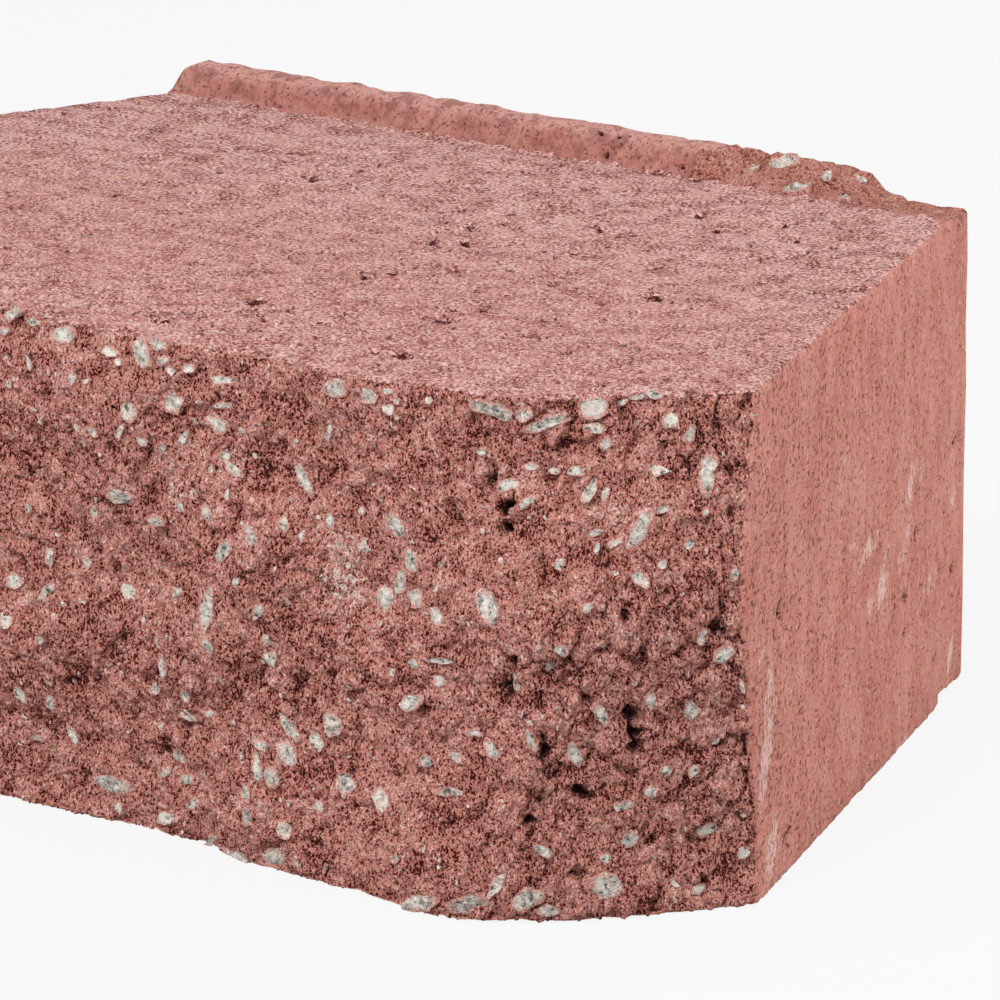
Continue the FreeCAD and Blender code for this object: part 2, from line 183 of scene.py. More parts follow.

# Dark marks, cracks and open pores away from the split face, in the same way; each is sunk a little, and its
# dark colour is painted shade
DARK_MARKS = (
    (432, 242, 9, 5, 1.0), (467, 243, 8, 5, 1.0), (471, 227, 12, 5, 0.7), (505, 223, 6, 3, 0.9),
    (516, 228, 6, 3, 0.8), (528, 252, 10, 4, 0.9), (437, 266, 8, 3, 0.9), (453, 269, 8, 4, 0.8),
    (364, 275, 8, 6, 0.9), (391, 276, 6, 4, 0.8), (518, 272, 10, 4, 0.9), (553, 283, 7, 4, 0.9),
    (484, 309, 9, 4, 0.9), (443, 319, 18, 8, 0.7), (403, 308, 7, 4, 0.8), (453, 310, 7, 3, 0.9),
    (557, 317, 6, 5, 0.9), (655, 297, 16, 5, 1.0), (405, 355, 20, 5, 0.9), (260, 300, 12, 5, 0.8),
    (700, 215, 12, 4, 0.9), (795, 240, 10, 4, 0.8), (428, 356, 10, 4, 0.8), (376, 352, 10, 4, 0.8),
    (254, 302, 16, 6, 0.9), (293, 310, 10, 5, 1.0), (163, 320, 22, 4, 0.8), (153, 314, 8, 4, 0.8),
    (264, 320, 7, 4, 0.8), (121, 301, 7, 4, 0.7), (718, 229, 8, 4, 0.8), (648, 297, 8, 4, 0.8),
    (573, 253, 7, 4, 0.8), (584, 257, 8, 4, 0.8), (600, 229, 9, 4, 0.8), (607, 246, 6, 4, 0.7),
    (750, 245, 6, 4, 0.8), (784, 224, 7, 4, 0.8), (761, 260, 6, 4, 0.8), (803, 252, 6, 4, 0.8),
    (958, 437, 4, 5, 0.95), (955, 442, 4, 4, 0.9), (917, 533, 3, 11, 0.9), (953, 570, 4, 11, 0.8),
    (941, 570, 3, 11, 0.7), (905, 597, 3, 8, 0.7), (906, 633, 3, 10, 0.7), (935, 660, 3, 10, 0.7),
    (924, 614, 3, 9, 0.7), (780, 611, 3, 15, 1.0), (790, 832, 8, 9, 0.7), (786, 842, 5, 8, 0.7),
    (602, 130, 5, 4, 0.9), (619, 133, 5, 4, 0.9),
    (605, 155, 6, 5, 0.8), (681, 167, 6, 4, 0.9), (689, 175, 6, 4, 0.9), (721, 156, 6, 18, 0.8),
    (760, 165, 6, 6, 0.7), (811, 187, 8, 5, 0.7),
)

# How far inside the solid's box the pieces stay, in millimetres
HAIR = 0.002

# Where each face of the block lies on its flat map: scale, left and bottom edge, in millimetres
CHARTS = {"front": (1.0, 2, 2), "top": (0.75, 2, 110), "right": (0.7, 242, 110), "left": (0.7, 242, 188),
          "back": (0.5, 132, 270), "bed": (0.4, 2, 270)}
MAP_SIDE = 395

# The rough surface's cells before it is thinned, in millimetres, and its faces after that
CELL = 0.6
BLOCK_FACES = 198000

# Marks of the photograph: how much larger they are drawn, for their ragged edges, and in millimetres
# how far one reaches at most, how deep it goes into the block, and how deep a dark one is sunk
MARK_GROWTH = 1.3
MARK_REACH = 18
MARK_DEPTH = 12
DARK_DEPTH = 1.3

# Stones are made a little larger than they show, because the paste covers their rims; the other
# number is how far one reaches at most, in millimetres
STONE_GROWTH = 1.28
STONE_REACH = 8

# Stray stones: how many, from and to which length, and from and to along x, in millimetres
LARGE_STRAYS = (150, 2.2, 9.0, (-153, -4))
SMALL_STRAYS = (400, 0.8, 2.2, (-154, 154))

# Grains of the split face: name, from and to along x, and how far apart; then the radius of one
FACE_GRAINS = (("grains_left", -153, -10, 1.65), ("grains_middle", -10, 72, 1.25),
               ("grains_right", 72, 154, 1.25))
FACE_GRAIN = 0.62

# Grains of the bearing face: how far apart, and the radius of one, in millimetres
TOP_SPACING = 1.0
TOP_GRAIN = 0.46

# Arrises that have crumbled: their two faces, how far in, in millimetres, and how much
ARRISES = (
    ("front", "top", 1.3, 1.0), ("front", "bed", 1.3, 1.0), ("front", "right", 0.9, 0.8),
    ("front", "left", 0.9, 0.8), ("right", "top", 0.7, 0.6), ("left", "top", 0.7, 0.6),
    ("right", "bed", 0.6, 0.35), ("left", "bed", 0.9, 0.8), ("back", "bed", 0.9, 0.8),
    ("crest", "step", 1.8, 1.0), ("crest", "left", 1.5, 1.2),
)


def hashed(cells, seed):
    """A repeatable random number from 0 to 1 for each cell of a grid."""
    x, y, z = (cells[..., axis].astype(np.int64).astype(np.uint32) for axis in range(3))
    h = x * np.uint32(0x8DA6B343) ^ y * np.uint32(0xD8163841) ^ z * np.uint32(0xCB1AB31F)
    h = h ^ np.uint32((seed * 0x9E3779B9) & 0xFFFFFFFF)
    for shift, factor in ((15, 0x2C1B3C6D), (12, 0x297A2D39), (15, 0x7FEB352D)):
        h = (h ^ (h >> np.uint32(shift))) * np.uint32(factor)
    return (h ^ (h >> np.uint32(16))).astype(np.float64) / 2**32


def noise(points, size, seed):
    """Smooth gradient noise, about -1 to 1, with features of that size in millimetres."""
    place = points / size
    base = np.floor(place)
    part = place - base
    fade = part**3 * (part * (part * 6 - 15) + 10)
    total = np.zeros(len(points))
    for corner in np.ndindex(2, 2, 2):
        step = np.array(corner, float)
        cell = base + step
        turn = 2 * np.pi * hashed(cell, seed)
        height = 2 * hashed(cell, seed + 101) - 1
        flat = np.sqrt(1 - height**2)
        gap = part - step
        slope = gap[:, 0] * flat * np.cos(turn) + gap[:, 1] * flat * np.sin(turn) + gap[:, 2] * height
        weight = np.prod(np.where(step > 0, fade, 1 - fade), axis=1)
        total += weight * slope
    return total * 1.6


def layered(points, size, seed, layers=3, fall=0.5):
    """Several layers of noise, each half the size of the one before."""
    return sum(fall**n * noise(points, size / 2**n, seed + 7 * n) for n in range(layers))


def scattered(points, size, seed):
    """Distances to the nearest and second nearest of scattered points, as shares of the size."""
    place = points / size
    base = np.floor(place)
    near = np.full((len(points), 2), 9.0)
    for shift in np.ndindex(3, 3, 3):
        cell = base + np.array(shift) - 1
        spot = cell + np.stack([hashed(cell, seed + n) for n in (1, 2, 3)], axis=1)
        gap = np.linalg.norm(spot - place, axis=1)
        near[:, 1] = np.minimum(near[:, 1], np.maximum(gap, near[:, 0]))
        near[:, 0] = np.minimum(near[:, 0], gap)
    return near[:, 0], near[:, 1]


def ramp(value, low, high):
    """Goes smoothly from 0 to 1 as the value goes from low to high."""
    share = np.clip((value - low) / (high - low), 0, 1)
    return share * share * (3 - 2 * share)


def camera_axes():
    """The camera's right, up and back directions."""
    sin_a, cos_a, sin_e, cos_e = math.sin(AZIMUTH), math.cos(AZIMUTH), math.sin(PITCH), math.cos(PITCH)
    back = np.array((sin_a * cos_e, -cos_a * cos_e, sin_e))
    right = np.array((cos_a, sin_a, 0.0))
    return right, np.cross(back, right), back


def photo_ray(px, py):
    """Eye and direction of the ray through a pixel of the photograph."""
    right, up, back = camera_axes()
    focal = LENS / SENSOR * PHOTO
    way = -back + right * (px - PHOTO / 2) / focal + up * (PHOTO / 2 - py) / focal
    return AIM + back * DISTANCE, way / np.linalg.norm(way)


def tree_of(mesh):
    """A search tree of a mesh's faces, in metres."""
    form = bmesh.new()
    form.from_mesh(mesh)
    tree = BVHTree.FromBMesh(form)
    form.free()
    return tree


def seen_at(tree, px, py):
    """Place in millimetres and normal of the surface seen at a pixel of the photograph."""
    eye, way = photo_ray(px, py)
    place, normal, _, _ = tree.ray_cast(Vector(eye * MM), Vector(way))
    if place is None:
        return None
    return np.array(place) / MM, np.array(normal)


def on_tangent(place, normal, px, py):
    """Where the ray through a pixel meets the plane that touches the surface at a place."""
    eye, way = photo_ray(px, py)
    return eye + way * (normal @ (place - eye)) / (normal @ way)


def mesh_arrays(mesh):
    """Vertex places in millimetres, and normals."""
    places = np.empty(len(mesh.vertices) * 3)
    normals = np.empty(len(mesh.vertices) * 3)
    mesh.vertices.foreach_get("co", places)
    mesh.vertices.foreach_get("normal", normals)
    return places.reshape(-1, 3) / MM, normals.reshape(-1, 3)


def held(points):
    """Places in millimetres, kept inside the solid's box."""
    low, high = (np.array(corner) / MM for corner in cad_box)
    return np.clip(points, low + HAIR, high - HAIR)


def move_points(mesh, places):
    """Moves a mesh's points to those places, in millimetres."""
    mesh.vertices.foreach_set("co", (held(places) * MM).ravel())
    mesh.update()


def keep_values(mesh, name, values):
    """Keeps a value at each point of a mesh, for its material."""
    attribute = mesh.attributes.new(name, "FLOAT", "POINT")
    attribute.data.foreach_set("value", values.astype(np.float32))


def placed(name, data):
    """An object of the scene with that data."""
    obj = bpy.data.objects.new(name, data)
    bpy.context.scene.collection.objects.link(obj)
    return obj


def evaluated(obj):
    """The mesh of an object with its modifiers applied; the object goes."""
    graph = bpy.context.evaluated_depsgraph_get()
    mesh = bpy.data.meshes.new_from_object(obj.evaluated_get(graph))
    bpy.data.objects.remove(obj)
    return mesh


def even_mesh(node):
    """The solid's surface as an even mesh of small cells."""
    copy = placed("even", node.data.copy())
    remesh = copy.modifiers.new("even", "REMESH")
    remesh.mode = "VOXEL"
    remesh.voxel_size = CELL * MM
    return evaluated(copy)


def front_depth(tree):
    """A function that gives the split face's y for arrays of x and z."""
    xs = np.arange(FACE_LEFT, FACE_RIGHT + 0.1, 1.0)
    zs = np.arange(0.5, COURSE, 1.5)
    grid = np.full((len(xs), len(zs)), np.nan)
    for i, x in enumerate(xs):
        for j, z in enumerate(zs):
            place = tree.ray_cast(Vector((x, FAR_FRONT, z)) * MM, Vector((0, 1, 0)))[0]
            if place:
                grid[i, j] = place.y / MM
    for j in range(len(zs)):
        good = ~np.isnan(grid[:, j])
        grid[:, j] = np.interp(xs, xs[good], grid[good, j])

    def depth(x, z):
        a = np.clip((x - xs[0]) / (xs[1] - xs[0]), 0, len(xs) - 1.001)
        b = np.clip((z - zs[0]) / (zs[1] - zs[0]), 0, len(zs) - 1.001)
        i, j = a.astype(int), b.astype(int)
        u, v = a - i, b - j
        low = grid[i, j] * (1 - v) + grid[i, j + 1] * v
        high = grid[i + 1, j] * (1 - v) + grid[i + 1, j + 1] * v
        return low * (1 - u) + high * u

    return depth


def side_gap(places, side):
    """Distance inside the right (1) or left (-1) tapered side."""
    reach = BACK_HALF + TAPER * (BACK - places[:, 1])
    return (reach - side * places[:, 0]) / math.hypot(1, TAPER)


def surface_gaps(places, depth_at):
    """Distance of each place inside each of the block's faces."""
    x, y, z = places.T
    behind = y - depth_at(x, z)
    turned = (depth_at(x + 2, z) - depth_at(x - 2, z)) / 4
    return {
        "front": behind / np.hypot(1, turned),
        "top": np.maximum(COURSE - z, 0),
        "bed": z,
        "back": BACK - y,
        "right": side_gap(places, 1),
        "left": side_gap(places, -1),
    }


def face_weights(gaps, blend=0.7):
    """How much each place belongs to each face, from 0 to 1."""
    weights = {}
    for name, gap in gaps.items():
        others = np.min([other for key, other in gaps.items() if key != name], axis=0)
        weights[name] = ramp(others - gap, -blend, blend)
    return weights


def warped(points, reach, size, seed):
    """The places pushed about by noise, so that forms made from them have ragged edges."""
    return points + reach * np.column_stack([noise(points, size, seed + n) for n in range(3)])


def marked(places, tree, marks):
    """How strongly the marks placed on the photograph show at each place."""
    total = np.zeros(len(places))
    half = MARK_GROWTH / 2
    for px, py, width, height, strength in marks:
        hit = seen_at(tree, px, py)
        if hit is None:
            continue
        spot, normal = hit
        side = on_tangent(spot, normal, px + half * width, py) - spot
        rise = on_tangent(spot, normal, px, py - half * height) - spot
        close = np.nonzero((np.abs(places - spot) < MARK_REACH).all(1))[0]
        gap = places[close] - spot
        across = (gap @ side) / (side @ side)
        along = (gap @ rise) / (rise @ rise)
        deep = (gap @ normal) / MARK_DEPTH
        shown = strength * np.exp(-(across**2 + along**2 + deep**2) ** 1.5)
        total[close] = np.maximum(total[close], shown)
    return total


def front_relief(places, tree):
    """How far the rough split face stands out from the solid's smooth one, and its small part."""
    bent = warped(places * (1, 1, 0.8), 1.1, 3.0, SEED + 15)
    large = 0.35 * layered(places, 22, SEED, 2)
    shelf = 2.2 * noise(bent, 12, SEED + 18) + 0.05 * places[:, 2]
    large += 1.1 * (ramp(shelf - np.floor(shelf), 0.3, 0.55) + np.floor(shelf) - shelf)
    large += 0.9 * layered(bent, 8, SEED + 25, 2, 0.6)
    near, second = scattered(bent, 6.5, SEED + 20)
    clods = ramp(noise(places, 18, SEED + 30), -0.5, 0.4)
    small = clods * (1.1 * (0.55 - near) - 0.9 * (1 - ramp(second - near, 0, 0.16)))
    near, second = scattered(warped(bent, 0.5, 1.4, SEED + 33), 2.6, SEED + 35)
    small += 0.7 * (0.5 - near) - 0.5 * (1 - ramp(second - near, 0, 0.2))
    small += 0.5 * layered(bent, 3.6, SEED + 40, 2, 0.6)
    small -= 1.5 * ramp(-noise(bent, 4.2, SEED + 50), 0.38, 0.75)
    small += 0.25 * noise(places, 1.4, SEED + 60)
    ragged = warped(warped(places, 1.7, 5.0, SEED + 62), 1.0, 1.7, SEED + 65)
    small -= (1.05 + noise(places, 2.2, SEED + 68)) * marked(ragged, tree, HOLLOWS)
    return large + small, small


def stone_radius(places, stone):
    """Which places lie near a stone, and how far out each is, in the stone's half axes."""
    middle, along, across, _ = stone
    close = np.nonzero((np.abs(places - middle) < STONE_REACH).all(1))[0]
    gap = places[close] - middle
    return close, np.hypot(gap @ along / (along @ along), gap @ across / (across @ across))


def bedded(places, relief, stones):
    """The relief made level under each stone, so that the stone isn't buried."""
    for stone in stones:
        close, radius = stone_radius(places, stone)
        inner = radius < 0.9
        if inner.any():
            share = 1 - ramp(radius, 0.9, 1.5)
            relief[close] += share * (relief[close][inner].mean() - relief[close])
    return relief


def on_stones(places, stones, share):
    """Whether each place lies on one of the stones, within that share of its half axes."""
    covered = np.zeros(len(places), bool)
    for stone in stones:
        close, radius = stone_radius(places, stone)
        covered[close] |= radius < share
    return covered


def top_relief(places):
    """Grain, pits and short cracks of the bearing face."""
    bent = warped(places, 0.8, 2.5, SEED + 68)
    total = 0.35 * layered(places, 7, SEED + 70, 3)
    total -= 1.4 * ramp(-noise(bent, 2.4, SEED + 75), 0.46, 0.68)
    return total


def lip_relief(places):
    """Lumps and pores of the lip."""
    total = 0.65 * layered(places, 7, SEED + 90, 3) - 0.1
    total -= 0.9 * ramp(-noise(warped(places, 0.8, 2.5, SEED + 92), 3.2, SEED + 95), 0.42, 0.75)
    return total


def break_relief(places):
    """Clods and pits where the lip's end has broken away."""
    bent = warped(places, 0.8, 2.6, SEED + 96)
    near, second = scattered(bent, 4.6, SEED + 97)
    total = 0.9 * (0.5 - near) - 0.4 * (1 - ramp(second - near, 0, 0.2))
    total += 0.35 * noise(bent, 2.2, SEED + 98)
    return total - 0.7 * ramp(-noise(bent, 2.8, SEED + 99), 0.45, 0.7)


def side_relief(places):
    """Faint drag lines and waves of the moulded sides."""
    drawn = places * (1, 1, 0.12)
    return 0.15 * noise(places, 14, SEED + 100) + 0.06 * noise(drawn, 1.6, SEED + 105)


def wear(places, first, second, reach, seed):
    """How much an arris between two faces has crumbled away."""
    close = np.exp(-np.maximum(first, second) / reach)
    return close * (0.45 + 0.8 * ramp(layered(places, 4, seed, 2, 0.7), -0.3, 0.7))


def lip_shares(places, normals):
    """How much each place belongs to the lip, and how much to its broken end."""
    behind = ramp(places[:, 1], LIP_FOOT - 1.0, LIP_FOOT + 0.5)
    lip = behind * ramp(places[:, 2], COURSE - 0.5, COURSE)
    edge = places[:, 0] + 3.0 * layered(places, 7, SEED + 94, 2)
    past_break = ramp(edge, LIP_BREAK - 0.8, LIP_BREAK + 0.8)
    stub = behind * ramp(places[:, 2], COURSE - 3, COURSE - 2)
    lip = np.maximum(lip, stub * past_break * ramp(normals[:, 2], 0.25, 0.5))
    return lip, past_break * lip


def crumbled(places, gaps, lip):
    """How far the arrises have crumbled at each place."""
    lean = (places[:, 2] - COURSE) * LIP_LEAN / (CREST - COURSE)
    gaps["crest"] = np.where(lip > 0, CREST - places[:, 2], BACK)
    gaps["step"] = np.where(lip > 0, places[:, 1] - LIP_FOOT - lean, BACK)
    total = np.zeros(len(places))
    for number, (first, second, reach, share) in enumerate(ARRISES):
        close = (gaps[first] < 4 * reach) & (gaps[second] < 4 * reach)
        worn = wear(places[close], gaps[first][close], gaps[second][close], reach, SEED + 200 + number)
        total[close] = np.maximum(total[close], share * worn)
    return total


def shaped(mesh, tree, depth_at, stones):
    """Moves the even mesh's points to the rough surface, and keeps what the material needs."""
    places, normals = mesh_arrays(mesh)
    gaps = surface_gaps(places, depth_at)
    weights = face_weights(gaps)
    lip, broken = lip_shares(places, normals)
    relief = np.zeros(len(places))
    cavity = np.zeros(len(places))
    front = weights["front"] > 0
    rough, cavity[front] = front_relief(places[front], tree)
    relief[front] += weights["front"][front] * bedded(places[front], rough, stones)
    top = (weights["top"] > 0) & (lip < 1)
    relief[top] += (weights["top"] * (1 - lip))[top] * top_relief(places[top])
    raised = lip > 0
    torn = broken[raised]
    rough = (1 - torn) * lip_relief(places[raised]) + torn * break_relief(places[raised])
    rough = bedded(places[raised], rough, stones)
    relief[raised] += lip[raised] * rough
    cavity[raised] += torn * rough
    upright = np.max([weights[name] for name in ("right", "left", "back")], axis=0)
    walls = upright > 0
    relief[walls] += upright[walls] * side_relief(places[walls])
    ragged = warped(warped(places, 0.6, 2.4, SEED + 110), 0.35, 1.0, SEED + 114)
    dark = marked(ragged, tree, DARK_MARKS)
    pale = marked(ragged, tree, PALE_MARKS)
    sunk = crumbled(places, gaps, lip)
    move_points(mesh, places + normals * (relief - sunk - DARK_DEPTH * dark)[:, None])
    keep = {"split": weights["front"], "top": weights["top"] * (1 - lip), "lip": lip, "broken": broken,
            "relief": relief, "cavity": cavity, "pale": pale, "dark": dark}
    for name, values in keep.items():
        keep_values(mesh, name, values)
    in_view = weights["front"] * ramp(places[:, 0], -12, -4)
    return np.maximum(in_view, ramp(np.maximum(dark, pale), 0.05, 0.3))


def thinned(mesh, seen):
    """The mesh with fewer faces, taken where the photograph looks least."""
    obj = placed("thinned", mesh)
    group = obj.vertex_groups.new(name="free")
    levels = np.round((1 - np.clip(seen, 0, 1)) * 10).astype(int)
    for level in range(1, 11):
        group.add(np.nonzero(levels == level)[0].tolist(), level / 10, "REPLACE")
    thin = obj.modifiers.new("thin", "DECIMATE")
    thin.vertex_group = "free"
    thin.vertex_group_factor = 1.0
    thin.use_collapse_triangulate = True
    thin.ratio = BLOCK_FACES / (2 * len(mesh.polygons))
    mesh = evaluated(obj)
    move_points(mesh, mesh_arrays(mesh)[0])
    return mesh


def ball(level):
    """Points and triangles of a ball of radius one: an octahedron at level 0."""
    if level == 0:
        points = np.array(((1, 0, 0), (0, 1, 0), (-1, 0, 0), (0, -1, 0), (0, 0, 1), (0, 0, -1)), float)
        upper = [(n, (n + 1) % 4, 4) for n in range(4)]
        return points, np.array(upper + [(b, a, 5) for a, b, _ in upper])
    form = bmesh.new()
    bmesh.ops.create_icosphere(form, subdivisions=level, radius=1)
    points = np.array([vertex.co for vertex in form.verts])
    faces = np.array([[vertex.index for vertex in face.verts] for face in form.faces])
    form.free()
    return points, faces


def unit(vectors):
    """The vectors at length one."""
    return vectors / np.linalg.norm(vectors, axis=-1, keepdims=True)


def chipped_forms(count, level, random):
    """Angular stones of radius one, each a squarish ball cut by planes; +Z is the side that shows."""
    points, faces = ball(level)
    turns = np.arctan2(points[:, 1], points[:, 0])
    points[:, :2] *= ((np.cos(turns) ** 4 + np.sin(turns) ** 4) ** -0.25)[:, None]
    forms = np.repeat(points[None], count, axis=0)
    sides, chips = 5, 3
    for number in range(1 + sides + chips):
        if number == 0:
            ways = unit(np.column_stack([random.uniform(-0.3, 0.3, (count, 2)), np.ones(count)]))
            depths = random.uniform(0.30, 0.45, count)
        elif number <= sides:
            turn = 2 * np.pi * (number + random.uniform(-0.4, 0.4, count)) / sides
            ways = unit(np.column_stack([np.cos(turn), np.sin(turn), random.uniform(-0.3, 0.4, count)]))
            depths = random.uniform(0.66, 0.96, count)
        else:
            ways = unit(random.normal(size=(count, 3)) * (1, 1, 0.5))
            depths = random.uniform(0.6, 0.95, count)
        over = np.maximum(np.einsum("svk,sk->sv", forms, ways) - depths[:, None], 0)
        forms -= over[..., None] * ways[:, None, :]
    return forms, faces


def corner_points(mesh):
    """The vertex number at each corner of each face."""
    corners = np.empty(len(mesh.loops), np.int32)
    mesh.loops.foreach_get("vertex_index", corners)
    return corners


def flat_map(mesh, spots):
    """Gives each corner its place on the flat map named OFBake."""
    layer = mesh.uv_layers.new(name="OFBake")
    layer.data.foreach_set("uv", np.clip(spots, 0, 1).astype(np.float32).ravel())


def cell_map(mesh, flat):
    """Gives each form a cell of its own on the flat picture; flat has its points from -1 to 1."""
    count = len(flat)
    row = math.ceil(math.sqrt(count))
    cells = np.column_stack([np.arange(count) % row, np.arange(count) // row])
    spots = (cells[:, None] + 0.5 + 0.4 * np.clip(flat, -1, 1)) / row
    flat_map(mesh, spots.reshape(-1, 2)[corner_points(mesh)])


def joined(name, points, faces):
    """One object of many like forms; points has a row of places, in millimetres, for each form."""
    count, size = points.shape[:2]
    every = (faces[None] + (np.arange(count) * size)[:, None, None]).reshape(-1, 3)
    mesh = bpy.data.meshes.new(name)
    mesh.from_pydata((held(points.reshape(-1, 3)) * MM).tolist(), [], every.tolist())
    mesh.update()
    return placed(name, mesh)


def spread(obj, name, values, size):
    """Gives all the points of each form one value of its own."""
    keep_values(obj.data, name, np.repeat(values, size))


def seen_stones(tree):
    """Middle, long and short half axes and normal of each stone that the photograph shows."""
    found = []
    for px, py, length, width, turn in STONES:
        hit = seen_at(tree, px, py)
        if hit is None:
            continue
        place, normal = hit
        cos_t, sin_t = math.cos(math.radians(turn)), math.sin(math.radians(turn))
        end = on_tangent(place, normal, px + length / 2 * cos_t, py - length / 2 * sin_t) - place
        side = on_tangent(place, normal, px - width / 2 * sin_t, py - width / 2 * cos_t) - place
        along = unit(end)
        across = np.cross(normal, along)
        found.append((place, along * np.linalg.norm(end), across * max(abs(side @ across), 0.4), normal))
    return found


def stray_stones(tree, count, low, high, region, taken, random):
    """Stones of the same kind where the photograph shows none or doesn't reach."""
    found = []
    while len(found) < count:
        x = random.uniform(*region)
        z = random.uniform(1.0, COURSE - 0.5)
        start = Vector((x, FAR_FRONT, z)) * MM
        hit, normal, _, _ = tree.ray_cast(start, Vector((0, 1, 0)))
        if hit is None:
            continue
        place, normal = np.array(hit) / MM, np.array(normal)
        length = low * (high / low) ** (random.uniform() ** 1.6)
        if any(np.linalg.norm(place - other) < reach + 0.6 * length for other, reach in taken):
            continue
        turn = random.normal(90, 45)
        upright = unit(np.cross(normal, np.cross((0, 0, 1.0), normal)))
        level = np.cross(upright, normal)
        along = level * math.cos(math.radians(turn)) + upright * math.sin(math.radians(turn))
        across = np.cross(normal, along)
        width = length * random.uniform(0.35, 0.85)
        found.append((place, along * length / 2, across * width / 2, normal))
        taken.append((place, length / 2))
    return found


def lay_stones(name, spots, level, tree, random):
    """A joined piece of stones, each sunk into the block so that its broken side lies about flush."""
    middles, along, across, normals = (np.array(part) for part in zip(*spots))
    forms, faces = chipped_forms(len(spots), level, random)
    thick = np.maximum(np.linalg.norm(across, axis=1), 0.5) * 0.9
    proud = random.uniform(0.25, 0.6, len(spots))
    for index, (middle, normal) in enumerate(zip(middles, normals)):
        hit = tree.ray_cast(Vector((middle + normal * 6) * MM), Vector(-normal))[0]
        if hit:
            middles[index] = np.array(hit) / MM
    middles += normals * (proud - 0.38 * thick)[:, None]
    points = middles[:, None] + STONE_GROWTH * forms[..., :1] * along[:, None]
    points += STONE_GROWTH * forms[..., 1:2] * across[:, None]
    points += forms[..., 2:] * (normals * thick[:, None])[:, None]
    uneven = warped(warped(points.reshape(-1, 3), 0.5, 2.0, SEED + 400), 0.15, 0.7, SEED + 404)
    obj = joined(name, uneven.reshape(points.shape), faces)
    cell_map(obj.data, forms[..., :2])
    spread(obj, "tone", random.uniform(size=len(spots)), forms.shape[1])
    keep_values(obj.data, "rim", np.hypot(forms[..., 0], forms[..., 1]).ravel())
    return obj


def turned(count, random):
    """Random turns, one matrix for each of that many forms."""
    w, x, y, z = unit(random.normal(size=(count, 4))).T
    rows = (
        (1 - 2 * (y * y + z * z), 2 * (x * y - z * w), 2 * (x * z + y * w)),
        (2 * (x * y + z * w), 1 - 2 * (x * x + z * z), 2 * (y * z - x * w)),
        (2 * (x * z - y * w), 2 * (y * z + x * w), 1 - 2 * (x * x + y * y)),
    )
    return np.array(rows).transpose(2, 0, 1)


def unrolled(depth_at):
    """Places along the split face by x, and how far each is along its middle line."""
    xs = np.arange(FACE_LEFT - 0.5, FACE_RIGHT, 0.5)
    ys = depth_at(xs, np.full(len(xs), COURSE / 2))
    return xs, ys, np.concatenate([[0], np.cumsum(np.hypot(np.diff(xs), np.diff(ys)))])


def face_spots(tree, depth_at, low, high, spacing, random):
    """Evenly scattered places on the split face, from one x to another, and the ways out of it."""
    xs, ys, lengths = unrolled(depth_at)
    first, last = np.interp([low, high], xs, lengths)
    spots, ways, faces = [], [], []
    for z in np.arange(0.5 * spacing, COURSE, spacing):
        for along in np.arange(first, last, spacing):
            run = along + random.uniform(-0.5, 0.5) * spacing
            height = z + random.uniform(-0.5, 0.5) * spacing
            x = np.interp(run, lengths, xs)
            slope = (np.interp(x + 2, xs, ys) - np.interp(x - 2, xs, ys)) / 4
            way = unit(np.array((slope, -1.0, 0)))
            start = np.array((x, np.interp(x, xs, ys), height)) + 12 * way
            hit, _, face, _ = tree.ray_cast(Vector(start * MM), Vector(-way))
            if hit and hit.y / MM < depth_at(x, height) + 8:
                spots.append(np.array(hit) / MM)
                ways.append(way)
                faces.append(face)
    return np.array(spots), np.array(ways), np.array(faces)


def grains(name, spots, ways, kept, radius, sunk, level, random):
    """A joined piece of sand grains, each sunk into the block's skin, with what is kept of each place."""
    points, faces = ball(level)
    count = len(spots)
    sizes = radius * np.exp(random.normal(0, 0.28, count))
    lumpy = points[None] * random.uniform(0.75, 1.15, (count, len(points), 1))
    lumpy = lumpy * random.uniform(0.6, 1.0, (count, 1, 3))
    forms = np.einsum("sij,svj->svi", turned(count, random), lumpy) * sizes[:, None, None]
    middles = spots - ways * (sizes * random.uniform(sunk - 0.25, sunk + 0.25, count))[:, None]
    obj = joined(name, forms + middles[:, None], faces)
    first = unit(np.cross(ways, (0.05, 0.3, 1.0)))
    axes = np.stack([first, np.cross(ways, first)], axis=1)
    cell_map(obj.data, np.einsum("saj,svj->sva", axes, forms) / sizes[:, None, None])
    spread(obj, "tone", random.uniform(size=count), len(points))
    for key, values in kept.items():
        spread(obj, key, values, len(points))
    obj.data.shade_smooth()
    return obj


